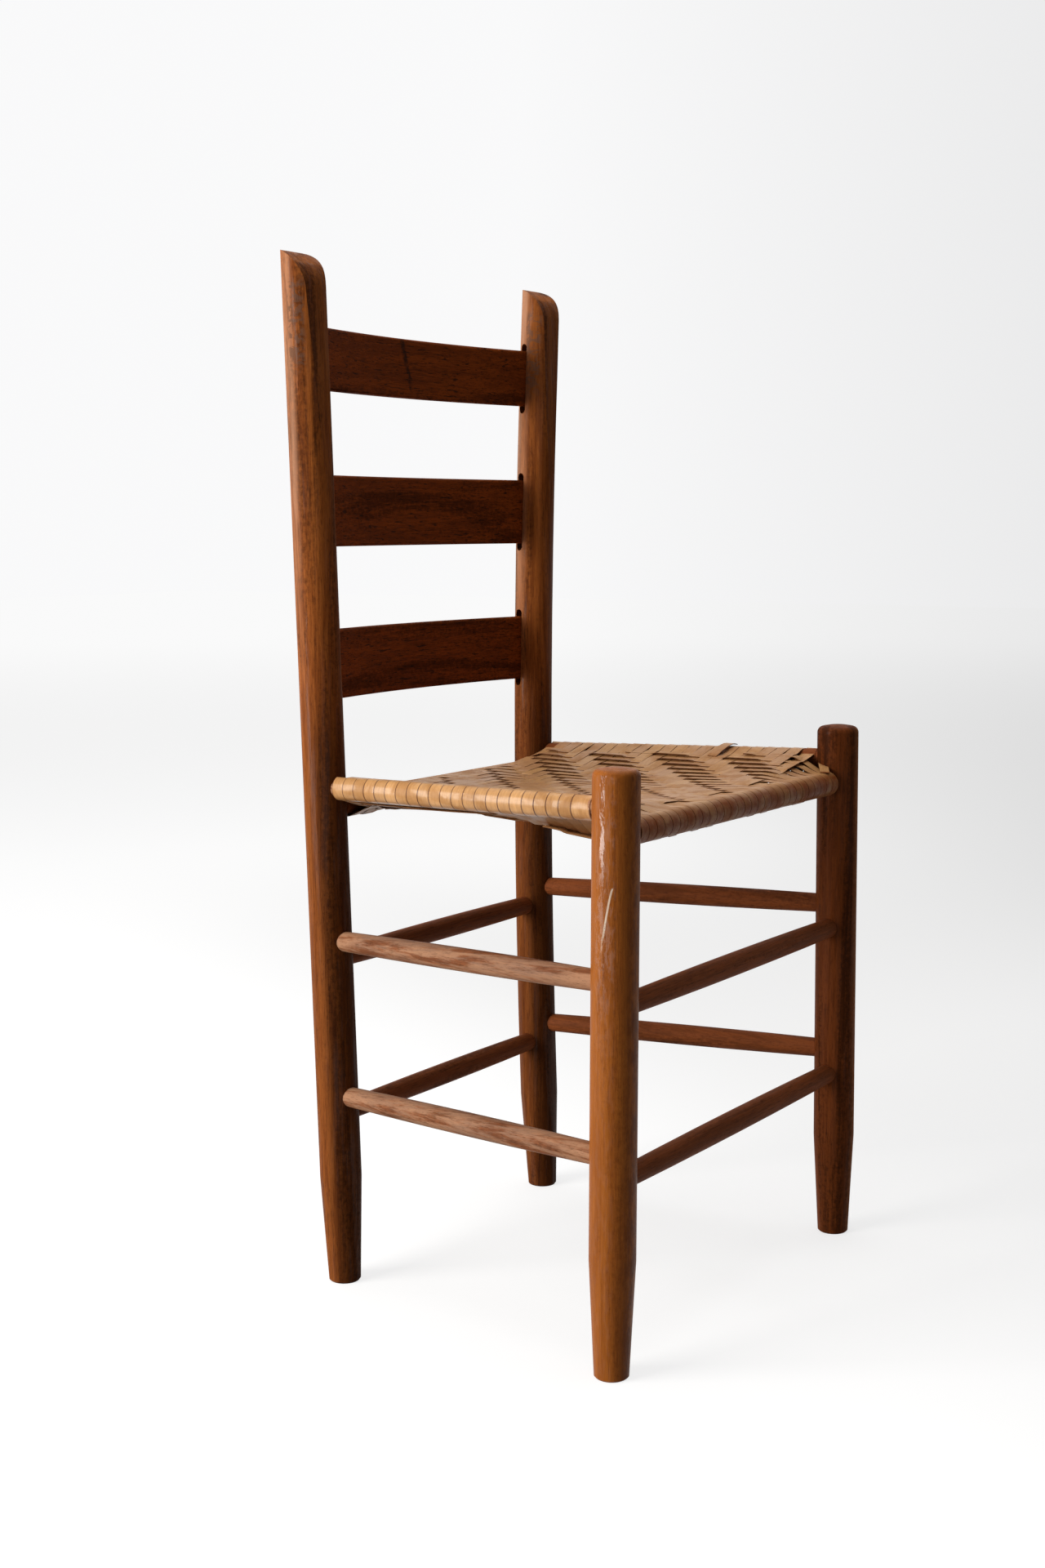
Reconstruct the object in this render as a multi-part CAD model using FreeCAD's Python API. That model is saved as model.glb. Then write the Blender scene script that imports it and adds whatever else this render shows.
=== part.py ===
import FreeCAD, Part
import math
import os

# Ladderback chair. Millimetres, +Z up, the front faces -Y, left and right are the sitter's own, left is +X.
# The origin is on the floor, under the middle of the chair's overall box.

# Posts
front_post_radius = 19.2
front_spread_foot = 405.9      # between the two front post axes at the floor
front_spread_seat = 395.0      # the same at the height of the front seat rail
front_post_stub = 33.0         # post top above the axis of the side seat rail
front_top_rounding = 6.0
front_top_dome = 1.5
back_post_radius = 18.9
back_spread_foot = 322.3
back_spread_seat = 327.3
back_spread_top = 363.0
back_foot_forward = 11.5       # the back feet stand this far in front of the back posts at the seat
seat_depth = 324.8             # from the front post axes to the back post axes at the seat

# Feet, hewn to a taper
foot_radius = 14.4
foot_taper_height = 97.0
foot_edge = 1.2

# Seat rails and rungs: heights of the axes, front ones first
seat_height_front = 441.5
seat_drop_back = 7.0
rung_upper_height = 302.7
rung_lower_height = 160.4
rung_drop_back = 6.0
side_lift_front = 21.0         # a side rail or rung enters the front post this far above the front one
side_lift_back = 18.1
end_rail_radius = 10.0
side_rail_radius = 9.5
rung_radius = 10.1             # at mid length, the rungs swell a little
tenon_radius = 9.0
tenon_depth = 25.0
mortise_clearance = 0.1
mortise_extra_depth = 0.6
shoulder_clearance = 0.3

# Back slats, from the lowest to the highest
slat_first_rise = 94.1         # lower edge of the lowest slat above the axis of the back seat rail
slat_heights = {"slat_bottom": 62.5, "slat_middle": 62.8, "slat_top": 54.2}
slat_gap = 73.1
slat_bows = {"slat_bottom": 18.0, "slat_middle": 18.5, "slat_top": 20.0}
slat_thickness = 8.0
slat_setback = 1.0             # front face of a slat in front of the post axis, at the post
slat_rounding = 2.4
slat_tenon_depth = 20.0
slat_side_clearance = 0.5
slat_slot_over = 7.0           # the slots are cut longer than the slats are high
post_above_slats = 61.4

# Tops of the back posts
ear_shave_start = 70.0         # above the axis of the side seat rail
ear_shave_depth = 6.0          # depth of the flat where the top starts to round over
ear_overrun = 1.0              # the knife enters and leaves this far outside the post

# Woven splints
splint_width = 12.75
splint_gap = 0.4
splint_thickness = 1.2
wrap_clearance = 0.2
layer_clearance = 0.3
post_to_splint = 0.4
seat_sag = 8.0
run_gap = 0.9                  # between the upper and the lower runs in the middle of the seat
weft_ramp = 85.0               # a weft slopes down from its rail over this length
corner_splint_margin = 2.0


def point(x, y, z):
    return FreeCAD.Vector(x, y, z)


# Heights and places worked out from the sizes above
side_rail_front = seat_height_front + side_lift_front
side_rail_back = seat_height_front - seat_drop_back + side_lift_back
seat_height_back = seat_height_front - seat_drop_back
front_post_top = side_rail_front + front_post_stub
slat_levels = {}
next_slat_level = seat_height_back + slat_first_rise
for slat_name, slat_height in slat_heights.items():
    slat_levels[slat_name] = next_slat_level
    next_slat_level += slat_height + slat_gap
back_post_top = next_slat_level - slat_gap + post_above_slats
wrap_radius_end = end_rail_radius + wrap_clearance
underside_lift = 2 * wrap_radius_end - seat_sag - splint_thickness - layer_clearance - run_gap


# The left back post's axis is a circle through its foot, its seat joint and its top. Its depth is
# measured from the seat joint here.
bend_foot = point(back_spread_foot / 2, -back_foot_forward, 0)
bend_seat = point(back_spread_seat / 2, 0, seat_height_back)
bend_top = point(back_spread_top / 2, 0, back_post_top)
bend_circle = Part.Arc(bend_foot, bend_seat, bend_top).toShape().Curve
bend_start = (bend_foot - bend_circle.Center).normalize()
bend_across = bend_circle.Axis.cross(bend_start)


def back_bend(z):
    """The back post's axis at a height: it leans back and bends outward towards the top."""
    reach = math.hypot(bend_start.z, bend_across.z)
    lead = math.atan2(bend_across.z, bend_start.z)
    swing = math.acos((z - bend_circle.Center.z) / bend_circle.Radius / reach)
    turn = min((lead - swing, lead + swing), key=abs)
    spoke = bend_start * math.cos(turn) + bend_across * math.sin(turn)
    return bend_circle.Center + spoke * bend_circle.Radius


def slat_reach(name):
    """How far a slat's back stands behind the seat joints of the back posts."""
    post = back_bend(slat_levels[name] + slat_heights[name] / 2)
    return post.y + slat_bows[name] + slat_thickness - slat_setback


back_reach = max([back_post_radius] + [slat_reach(name) for name in slat_heights])
front_y = front_post_radius - (front_post_radius + seat_depth + back_reach) / 2
back_y = front_y + seat_depth


def front_axis(z):
    """Axis of the left front post at a height."""
    lean = (front_spread_seat - front_spread_foot) / 2 / seat_height_front
    return point(front_spread_foot / 2 + lean * z, front_y, z)


def back_axis(z):
    """Axis of the left back post at a height."""
    return back_bend(z) + point(0, back_y, 0)


def mirrored(p):
    return point(-p.x, p.y, p.z)


def closed_face(edges):
    return Part.Face(Part.Wire(edges))


def outline_face(corners):
    return Part.Face(Part.makePolygon(corners + corners[:1]))


def placed_along(shape, foot, along):
    shape.Placement = FreeCAD.Placement(foot, FreeCAD.Rotation(point(0, 0, 1), along))
    return shape


def foot_waste(axis, radius):
    """What is hewn off a post to taper its foot, and everything below the floor."""
    along = (axis(foot_taper_height) - axis(0)).normalize()
    flare = (radius - foot_radius) / foot_taper_height
    clear_radius = 1.5 * radius
    clear_height = (clear_radius - foot_radius) / flare
    rim = foot_radius + flare * foot_edge
    outline = outline_face([
        point(foot_radius - foot_edge, 0, -clear_radius),
        point(foot_radius - foot_edge, 0, 0),
        point(rim, 0, foot_edge),
        point(clear_radius, 0, clear_height),
        point(2 * radius, 0, clear_height),
        point(2 * radius, 0, -clear_radius),
    ])
    hewn = placed_along(outline.revolve(point(0, 0, 0), point(0, 0, 1), 360), axis(0), along)
    under_floor = Part.makeBox(
        8 * radius, 8 * radius, 4 * radius, axis(0) - point(4 * radius, 4 * radius, 4 * radius)
    )
    return [hewn, under_floor]


def front_post():
    """Left front post: straight, tapered at the foot, with a slightly domed and rounded top."""
    along = (front_axis(front_post_top) - front_axis(0)).normalize()
    below = front_post_radius
    length = (front_axis(front_post_top) - front_axis(0)).Length + below
    crown_radius = front_post_radius - front_top_rounding
    rim_level = length - front_top_dome
    bend = math.sqrt(0.5) * front_top_rounding
    ball_radius = (crown_radius ** 2 + front_top_dome ** 2) / (2 * front_top_dome)
    half_crown = crown_radius / 2
    half_rise = math.sqrt(ball_radius ** 2 - half_crown ** 2) - ball_radius
    outline = [
        Part.makeLine(point(0, 0, 0), point(front_post_radius, 0, 0)),
        Part.makeLine(
            point(front_post_radius, 0, 0), point(front_post_radius, 0, rim_level - front_top_rounding)
        ),
        Part.Arc(
            point(front_post_radius, 0, rim_level - front_top_rounding),
            point(crown_radius + bend, 0, rim_level - front_top_rounding + bend),
            point(crown_radius, 0, rim_level),
        ).toShape(),
        Part.Arc(
            point(crown_radius, 0, rim_level),
            point(half_crown, 0, length + half_rise),
            point(0, 0, length),
        ).toShape(),
        Part.makeLine(point(0, 0, length), point(0, 0, 0)),
    ]
    blank = closed_face(outline).revolve(point(0, 0, 0), point(0, 0, 1), 360)
    post = placed_along(blank, front_axis(0) - along * below, along)
    return post.cut(foot_waste(front_axis, front_post_radius))


def shaving():
    """What the knife takes off a back post: a long shallow scoop in front, and the top rounded over."""
    start = side_rail_front + ear_shave_start
    front_face = back_axis(start).y - back_post_radius
    back_face = back_axis(back_post_top).y + back_post_radius
    entry_y = front_face - ear_overrun
    round_radius = 2 * back_post_radius - ear_shave_depth + ear_overrun
    flat_y = back_face + ear_overrun - round_radius
    shoulder = back_post_top - round_radius
    scoop_middle = point(0, entry_y + (flat_y - entry_y) / 4, (start + shoulder) / 2)
    quarter = math.sqrt(0.5) * round_radius
    outer_y = back_face + back_post_radius
    clear_y = front_face - back_post_radius
    clear_height = back_post_top + 4 * back_post_radius
    corners = [
        point(0, back_face + ear_overrun, back_post_top),
        point(0, outer_y, back_post_top),
        point(0, outer_y, clear_height),
        point(0, clear_y, clear_height),
        point(0, clear_y, start),
        point(0, entry_y, start),
    ]
    outline = [
        Part.Arc(corners[-1], scoop_middle, point(0, flat_y, shoulder)).toShape(),
        Part.Arc(
            point(0, flat_y, shoulder),
            point(0, flat_y + round_radius - quarter, shoulder + quarter),
            corners[0],
        ).toShape(),
    ]
    outline += [Part.makeLine(corners[i], corners[i + 1]) for i in range(len(corners) - 1)]
    face = closed_face(outline)
    face.translate(point(back_spread_foot / 2 - 3 * back_post_radius, 0, 0))
    width = (back_spread_top - back_spread_foot) / 2 + 6 * back_post_radius
    return face.extrude(point(width, 0, 0))


def back_post():
    """Left back post: a bent round with a tapered foot and a shaved, rounded-over top."""
    beyond = 2 * back_post_radius
    ends = (-beyond, back_post_top + beyond)
    path = Part.Arc(back_axis(ends[0]), back_axis(seat_height_back), back_axis(ends[1])).toShape()
    along = path.tangentAt(path.FirstParameter)
    # The round starts at the outer back corner, which no mortise reaches.
    corner = point(1, 1, 0)
    corner = (corner - along * along.dot(corner)).normalize()
    turn = FreeCAD.Rotation(corner, along.cross(corner), along, "ZXY")
    ring = Part.makeCircle(back_post_radius)
    ring.Placement = FreeCAD.Placement(path.valueAt(path.FirstParameter), turn)
    sweep = math.degrees(path.LastParameter - path.FirstParameter)
    blank = closed_face([ring]).revolve(path.Curve.Center, path.Curve.Axis, sweep)
    waste = foot_waste(back_axis, back_post_radius)
    return blank.cut(waste).cut(shaving())


def rung(start, end, body_radius):
    """A round rung between two post axes, its tenons let in past them, swelling to its middle."""
    along = (end - start).normalize()
    past_axis = tenon_depth - max(front_post_radius, back_post_radius)
    foot = start - along * past_axis
    length = (end - start).Length + 2 * past_axis
    outline = [
        Part.makeLine(point(0, 0, 0), point(tenon_radius, 0, 0)),
        Part.makeLine(point(tenon_radius, 0, 0), point(tenon_radius, 0, tenon_depth)),
        Part.Arc(
            point(tenon_radius, 0, tenon_depth),
            point(body_radius, 0, length / 2),
            point(tenon_radius, 0, length - tenon_depth),
        ).toShape(),
        Part.makeLine(point(tenon_radius, 0, length - tenon_depth), point(tenon_radius, 0, length)),
        Part.makeLine(point(tenon_radius, 0, length), point(0, 0, length)),
        Part.makeLine(point(0, 0, length), point(0, 0, 0)),
    ]
    stick = closed_face(outline).revolve(point(0, 0, 0), point(0, 0, 1), 360)
    return placed_along(Part.Solid(stick), foot, along)


def seat_rail(start, end, body_radius):
    """A straight round seat rail with a shoulder before each tenon."""
    along = (end - start).normalize()
    past_axis = tenon_depth - max(front_post_radius, back_post_radius)
    foot = start - along * past_axis
    length = (end - start).Length + 2 * past_axis
    tenons = Part.makeCylinder(tenon_radius, length)
    shoulder = tenon_depth + shoulder_clearance
    body = Part.makeCylinder(body_radius, length - 2 * shoulder, point(0, 0, shoulder))
    return placed_along(tenons.fuse(body), foot, along)


def mortise(start, end):
    """The blind hole in the post at the start of a rail or rung."""
    along = (end - start).normalize()
    past_axis = tenon_depth - max(front_post_radius, back_post_radius) + mortise_extra_depth
    reach = past_axis + 2 * max(front_post_radius, back_post_radius)
    return Part.makeCylinder(
        tenon_radius + mortise_clearance, reach, start - along * past_axis, along
    )


def bowed_board(name, thickness_extra, height_extra, length_extra, rounding):
    """A board between the back posts, bowed backward, larger than the slat itself by the extras."""
    height = slat_heights[name]
    level = slat_levels[name]
    post = back_axis(level + height / 2)
    bow = slat_bows[name]
    end_x = post.x - back_post_radius + slat_tenon_depth + length_extra
    ring_radius = (post.x ** 2 + bow ** 2) / (2 * bow)
    centre_y = post.y - slat_setback + bow - ring_radius
    bottom = level - height_extra

    def arc(radius):
        drop = math.sqrt(radius ** 2 - end_x ** 2)
        return Part.Arc(
            point(-end_x, centre_y + drop, bottom),
            point(0, centre_y + radius, bottom),
            point(end_x, centre_y + drop, bottom),
        ).toShape()

    front = arc(ring_radius - thickness_extra)
    back = arc(ring_radius + slat_thickness + thickness_extra)
    ends = [
        Part.makeLine(front.Vertexes[i].Point, back.Vertexes[i].Point) for i in range(2)
    ]
    board = closed_face([front, ends[1], back, ends[0]]).extrude(
        point(0, 0, height + 2 * height_extra)
    )
    long_edges = [e for e in board.Edges if e.BoundBox.XLength > post.x]
    return board.makeFillet(rounding, long_edges)


def slat(name):
    return bowed_board(name, 0.0, 0.0, 0.0, slat_rounding)


def slat_slots(name):
    """The round-ended slots for a slat, in both back posts at once."""
    return bowed_board(
        name, slat_side_clearance, slat_slot_over, mortise_extra_depth, slat_thickness / 2
    )


def warp_outline(radius, sag):
    """Closed outline of a warp's outer or inner side, in the plane of its edge."""
    middle_y = (front_y + back_y) / 2
    top_middle = warp_height(middle_y, 1, radius, -sag)
    bottom_middle = warp_height(middle_y, -1, radius, underside_lift)
    front_top = point(0, front_y, seat_height_front + radius)
    front_bottom = point(0, front_y, seat_height_front - radius)
    back_top = point(0, back_y, seat_height_back + radius)
    back_bottom = point(0, back_y, seat_height_back - radius)
    if sag:
        top_run = Part.Arc(front_top, point(0, middle_y, top_middle), back_top).toShape()
    else:
        top_run = Part.makeLine(front_top, back_top)
    return Part.Wire([
        Part.Arc(front_bottom, point(0, front_y - radius, seat_height_front), front_top).toShape(),
        top_run,
        Part.Arc(back_top, point(0, back_y + radius, seat_height_back), back_bottom).toShape(),
        Part.Arc(back_bottom, point(0, middle_y, bottom_middle), front_bottom).toShape(),
    ])


def warp_height(y, side, radius, rise):
    """Height of a warp's upper (side 1) or lower (side -1) run at a depth."""
    share = (y - front_y) / seat_depth
    straight = seat_height_front - seat_drop_back * share
    return straight + side * radius + 4 * share * (1 - share) * rise


def warp_at(x, sag):
    outer = Part.Face(warp_outline(wrap_radius_end + splint_thickness, sag))
    inner = Part.Face(warp_outline(wrap_radius_end, sag))
    band = outer.cut(inner)
    band.translate(point(x - splint_width / 2, 0, 0))
    return band.extrude(point(splint_width, 0, 0))


def side_rail_axis(y):
    """Axis of the left side rail at a depth."""
    share = (y - front_y) / seat_depth
    start = front_axis(side_rail_front)
    end = back_axis(side_rail_back)
    return start + (end - start) * share


def wrap_radius_side():
    """Bore of a weft: it clears the rail, which runs askew through it."""
    skew = abs(side_rail_axis(front_y).x - side_rail_axis(back_y).x) / seat_depth
    slope = abs(side_rail_front - side_rail_back) / seat_depth
    return side_rail_radius + wrap_clearance / 2 + (skew + slope) * splint_width / 2


def tangent_point(centre_x, centre_z, radius, far_x, far_z, side):
    """Where a line from a far point touches a circle, above (side 1) or below (side -1)."""
    distance = math.hypot(far_x - centre_x, far_z - centre_z)
    bearing = math.atan2(far_z - centre_z, far_x - centre_x)
    opening = math.acos(radius / distance)
    angle = bearing - side * opening
    return centre_x + radius * math.cos(angle), centre_z + radius * math.sin(angle)


def weft_outline(y, radius, upper, lower):
    """Closed outline round both side rails, drawn down to the warps' level in the middle."""
    rail = side_rail_axis(y)
    ramp_x = rail.x - weft_ramp
    top_x, top_z = tangent_point(rail.x, rail.z, radius, ramp_x, upper, 1)
    low_ramp_x = warps_edge()
    low_x, low_z = tangent_point(rail.x, rail.z, radius, low_ramp_x, lower, -1)
    corners = [
        point(-top_x, y, top_z), point(-ramp_x, y, upper), point(ramp_x, y, upper),
        point(top_x, y, top_z), point(low_x, y, low_z), point(low_ramp_x, y, lower),
        point(-low_ramp_x, y, lower), point(-low_x, y, low_z),
    ]
    lines = [Part.makeLine(corners[i], corners[i + 1]) for i in (0, 1, 2, 4, 5, 6)]
    bends = [
        Part.Arc(corners[3], point(rail.x + radius, y, rail.z), corners[4]).toShape(),
        Part.Arc(corners[7], point(-rail.x - radius, y, rail.z), corners[0]).toShape(),
    ]
    return Part.Wire(lines[:3] + bends[:1] + lines[3:] + bends[1:])


def weft_at(y):
    half = splint_width / 2
    over = wrap_radius_end + splint_thickness
    edges = (y - half, y + half)
    upper = max(warp_height(edge, 1, over, -seat_sag) for edge in edges) + layer_clearance
    lower = layer_clearance + max(
        warp_height(edge, -1, wrap_radius_end, underside_lift) for edge in edges
    )
    bore = wrap_radius_side()
    outer = Part.Face(weft_outline(y, bore + splint_thickness, upper + splint_thickness, lower))
    inner = Part.Face(weft_outline(y, bore, upper, lower + splint_thickness))
    band = outer.cut(inner)
    band.translate(point(0, -half, 0))
    return band.extrude(point(0, splint_width, 0))


def seat_wefts():
    """Splints that wrap the two side rails, evenly spaced between the posts."""
    first = front_y + front_post_radius + post_to_splint
    last = back_y - back_post_radius - post_to_splint
    count = int((last - first) / (splint_width + splint_gap))
    pitch = (last - first) / count
    return Part.Compound([weft_at(first + (i + 0.5) * pitch) for i in range(count)])


def warp_pitch():
    return splint_width + splint_gap


def warp_count():
    clear = 2 * (back_axis(seat_height_back).x - back_post_radius - post_to_splint)
    return int(clear / warp_pitch())


def warps_edge():
    """Where the outermost of the long warps ends, sideways."""
    return warp_count() / 2 * warp_pitch()


def seat_warps():
    """Splints that wrap the front and back rails, as many as the back rail holds."""
    count = warp_count()
    first = -(count - 1) / 2 * warp_pitch()
    return Part.Compound([warp_at(first + i * warp_pitch(), seat_sag) for i in range(count)])


def corner_splints(side):
    """Short warps that fill a front corner: round the front rail, then tucked under the wefts."""
    inner_edge = warps_edge()
    outer_limit = front_axis(seat_height_front).x - front_post_radius - post_to_splint
    count = int((outer_limit - inner_edge) / warp_pitch())
    wrap = wrap_radius_side() + splint_thickness + corner_splint_margin
    rail_skew = (side_rail_axis(front_y).x - side_rail_axis(back_y).x) / seat_depth
    last_y = back_y - back_post_radius - splint_width
    splints = []
    for i in range(count):
        x = inner_edge + (i + 0.5) * warp_pitch()
        outer_edge = x + splint_width / 2
        meets_rail = front_y + (side_rail_axis(front_y).x - wrap - outer_edge) / rail_skew
        end_y = min(meets_rail, last_y)
        front_part = Part.makeBox(
            4 * front_spread_foot, 2 * seat_depth, seat_height_front * 2,
            point(-2 * front_spread_foot, end_y - 2 * seat_depth, 0),
        )
        splints.extend(warp_at(side * x, 0.0).common(front_part).Solids)
    return Part.Compound(splints)


def save(name, shape):
    solids = shape.Solids
    for solid in solids:
        if not solid.isValid():
            raise ValueError(name + " holds a solid that is not valid")
    result = solids[0] if len(solids) == 1 else Part.Compound(solids)
    result.exportStep("parts/" + name + ".step")
    print(name, len(solids), round(result.Volume))


def side_sticks():
    """Rails and rungs of the two sides: name, radius, then each end's post and place."""
    levels = (
        ("seat_rail_{}", side_rail_radius, side_rail_front, side_rail_back),
        ("rung_{}_upper", rung_radius, rung_upper_height + side_lift_front,
         rung_upper_height - rung_drop_back + side_lift_back),
        ("rung_{}_lower", rung_radius, rung_lower_height + side_lift_front,
         rung_lower_height - rung_drop_back + side_lift_back),
    )
    sticks = []
    for name, radius, front_z, back_z in levels:
        start, end = front_axis(front_z), back_axis(back_z)
        sticks.append((
            name.format("left"), radius, "front_post_left", start, "back_post_left", end
        ))
        sticks.append((
            name.format("right"), radius,
            "front_post_right", mirrored(start), "back_post_right", mirrored(end),
        ))
    return sticks


def end_sticks():
    """The same for the rails and rungs of the front and the back."""
    levels = (
        ("seat_rail_front", end_rail_radius, front_axis(seat_height_front)),
        ("rung_front_upper", rung_radius, front_axis(rung_upper_height)),
        ("rung_front_lower", rung_radius, front_axis(rung_lower_height)),
        ("seat_rail_back", end_rail_radius, back_axis(seat_height_back)),
        ("rung_back_upper", rung_radius, back_axis(rung_upper_height - rung_drop_back)),
        ("rung_back_lower", rung_radius, back_axis(rung_lower_height - rung_drop_back)),
    )
    sticks = []
    for name, radius, left in levels:
        post = "front_post_" if "front" in name else "back_post_"
        sticks.append((name, radius, post + "left", left, post + "right", mirrored(left)))
    return sticks


def posts():
    left = {"front_post_": front_post(), "back_post_": back_post()}
    both = {}
    for name, post in left.items():
        both[name + "left"] = post
        both[name + "right"] = post.mirror(point(0, 0, 0), point(1, 0, 0))
    return both


def build():
    os.makedirs("parts", exist_ok=True)
    blanks = posts()
    joints = {name: [] for name in blanks}
    for name, radius, start_post, start, end_post, end in side_sticks() + end_sticks():
        make = rung if name.startswith("rung") else seat_rail
        save(name, make(start, end, radius))
        joints[start_post].append(mortise(start, end))
        joints[end_post].append(mortise(end, start))
    for name in slat_heights:
        save(name, slat(name))
        joints["back_post_left"].append(slat_slots(name))
        joints["back_post_right"].append(slat_slots(name))
    for name, blank in blanks.items():
        save(name, blank.cut(joints[name]))
    save("seat_wefts", seat_wefts())
    save("seat_warps", seat_warps())
    save("corner_splints_left", corner_splints(1))
    save("corner_splints_right", corner_splints(-1))


build()
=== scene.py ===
import math
import random

import bpy
from mathutils import Matrix, Vector


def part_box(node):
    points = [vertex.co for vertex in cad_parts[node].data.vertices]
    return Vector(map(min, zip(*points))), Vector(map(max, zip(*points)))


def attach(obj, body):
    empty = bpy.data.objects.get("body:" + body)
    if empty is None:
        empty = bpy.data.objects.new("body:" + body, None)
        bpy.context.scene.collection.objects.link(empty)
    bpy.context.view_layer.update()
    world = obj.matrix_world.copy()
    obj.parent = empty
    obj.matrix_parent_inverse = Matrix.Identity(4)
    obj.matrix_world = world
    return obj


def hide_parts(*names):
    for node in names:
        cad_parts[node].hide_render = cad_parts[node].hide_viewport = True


# Ladderback chair. Metres, +Z up, the front faces -Y, left and right are the sitter's own, left is +X.
# The wooden pieces are the frame's own, under varnish made here. The splint seat is woven here, strip
# by strip, round the frame's seat rails.

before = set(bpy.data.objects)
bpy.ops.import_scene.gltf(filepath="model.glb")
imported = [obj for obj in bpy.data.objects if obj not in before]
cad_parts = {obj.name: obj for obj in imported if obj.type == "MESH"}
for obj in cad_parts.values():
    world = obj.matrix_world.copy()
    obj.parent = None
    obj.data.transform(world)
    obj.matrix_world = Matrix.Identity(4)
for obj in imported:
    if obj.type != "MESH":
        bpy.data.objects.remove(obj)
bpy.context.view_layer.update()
random.seed(7)

# Camera
camera_place = Vector((-1.5029, -0.9800, 0.6827))
camera_turn = -55.36           # degrees from looking along +Y, minus is to the right
camera_tilt = -7.43
camera_roll = -0.25
camera_lens = 45.63
camera_sensor = 36.0

# Sizes of the part that its boxes don't give
side_rail_radius = 0.0095
front_post_radius = 0.0192
back_post_radius = 0.0189

# Splints
splint_thickness = 0.0008
# Half of a splint's cross-section, flat above with a rounded edge: shares of half its width, and of
# its thickness.
splint_half_profile = ((0.86, 0.50), (0.92, 0.485), (0.975, 0.34), (1.0, 0.0), (0.92, -0.5))
splint_gap = 0.0004            # the most that lies open between two neighbours
splint_rise = 0.00064          # how far a splint swings above and below the middle of the weave
under_swing = 1.5              # on the underside it swings this many times as far
weft_slack = 0.0010            # the most that a splint hangs loose on the underside
warp_slack = 0.0012
end_clearance = 0.0003         # between a splint and the front or back rail
side_clearance = 0.0006
post_gap = 0.0004              # between a post and the weft beside it
cell_steps = 5                 # points along a splint for each one that it crosses
wrap_steps = 24
fibre_scale_along = 90.0      # fibres are long along a splint and fine across it
fibre_scale_across = 520.0

# Weave
warp_pitch = 0.0122
warp_half_count = 11           # full length warps each side of the middle one
corner_warps = 3               # short ones in each front corner
weft_count = 22
first_weft_width = 0.0190      # the one beside the right front post is a wide one
weave_repeat = 6               # a weft passes over three warps, then under three
weft_over = 3
weave_phase = 5
weft_dive = 0.62               # a weft changes height over this share of a cell, ahead of the crossing
warp_dive = 0.5                # a warp does so over this share, in its middle
flat_reach = 0.016             # splints lie flat this near the rails

# Form of the seat
seat_sag = 0.0050
crown_power = 2.5              # how the seat rises towards the side rails
front_blend = 0.035            # over this length the seat leaves the straight end rails
under_blend = 0.200
under_lift = 0.0060
weft_top_inset = 0.0028        # a weft's runs end this far inside the side rail's axis
weft_under_inset = 0.026
weft_wrap = (75, -100)         # degrees from straight out, where a weft meets and leaves the side rail

# Loose ends
splice_spot = (0.190, -0.058)  # a weft's end lies raised over the left rail here
splice_length = 0.036
splice_inset = 0.030
splice_width = 0.0105
splice_arch = 0.0024
splice_slant = 0.10
tucked_ends = (                # under the right rail: in from its axis, depth, and drop of both ends
    ((0.004, 0.128, 0.0010), (0.022, 0.020, 0.0030)),
    ((0.016, 0.110, 0.0025), (0.008, -0.040, 0.0020)),
)
tucked_sag = 0.0015
filler_width = 0.0090
filler_start = (0.1960, -0.1510)   # a folded end of a splint fills the left front corner
filler_end = (0.1640, -0.1700)
filler_lift = (0.0012, 0.0010)     # of its start and its end above the weave
filler_arch = 0.0006

# Studio
seat_middle = Vector((0.0, 0.0, 0.45))
window_place = (-2.1, 1.25, 0.95)
window_size = (1.4, 1.9)
window_power = 74.0
window_color = (1.0, 0.97, 0.93)
ceiling_place = (0.2, 0.2, 2.6)
ceiling_size = (2.2, 2.2)
ceiling_power = 34.0
ceiling_color = (1.0, 1.0, 1.0)
floor_reach = 14.0
floor_color = (0.35, 0.35, 0.35)
# painted light on the floor: its glow falls from the window's side to the shaded side, where the chair's
# shadow lies
floor_glow = 0.78
floor_shade = 0.64
floor_shade_reach = (-0.15, 0.6)
floor_blend = (1.0, 2.6)       # distances over which it takes on the background's shade
floor_far = (4.0, 11.0)
lamplight = (0.125, 0.050)     # what the lamps add to the floor at those two distances
wall_color = (0.995, 0.995, 1.0)
wall_bright = 0.955
wall_fall = 0.48
world_light = 0.14

# Directions
across_view = (0.5686, -0.8226, 0.0)    # level, from the picture's left to its right
toward_view = (-0.8226, -0.5686, 0.0)   # level, at right angles to it, to the front and right
polished_side = (-1.0, -0.07, 0.0)
# the side towards the window, where the light comes from
lit_side = (-0.86, 0.51, 0.0)
shaded_side = (0.86, -0.51, 0.0)
scarred_side = (-0.97, -0.24, 0.0)
front_side = (0.0, -1.0, 0.0)
under_front_side = (0.0, -0.9, -0.44)
under_side = (0.0, 0.0, -1.0)

# Marks
scratch_top = 0.4035           # a pale curved scratch on the right front post, painted partly as the glint of light along it
scratch_length = 0.058
scratch_side = 0.0217
scratch_bend = 0.0863
scratch_curve = 0.75
scratch_whole = 0.030          # it is unbroken down to here
scratch_edges = (0.0003, 0.0011)
shade_below = 0.52              # painted shade: the back posts are darker under this height, less so on the window side
scar_heights = (0.800, 0.895)  # tool marks on the back posts' right-hand sides
ridge_heights = (0.56, 0.70)   # the shaved front's bare edge comes in here
# heights of the painted sheen on the back posts' window side
sheen_heights = (0.50, 0.74)
slat_mark_x = -0.0130          # middle of a dark upright mark on the top slat
slat_mark_z = 0.8300
slat_mark_half_width = 0.0045
slat_mark_half_height = 0.0260
slat_mark_slant = 0.32
rung_end = 0.105               # the rubbed rungs are paler from here to the posts

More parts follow.
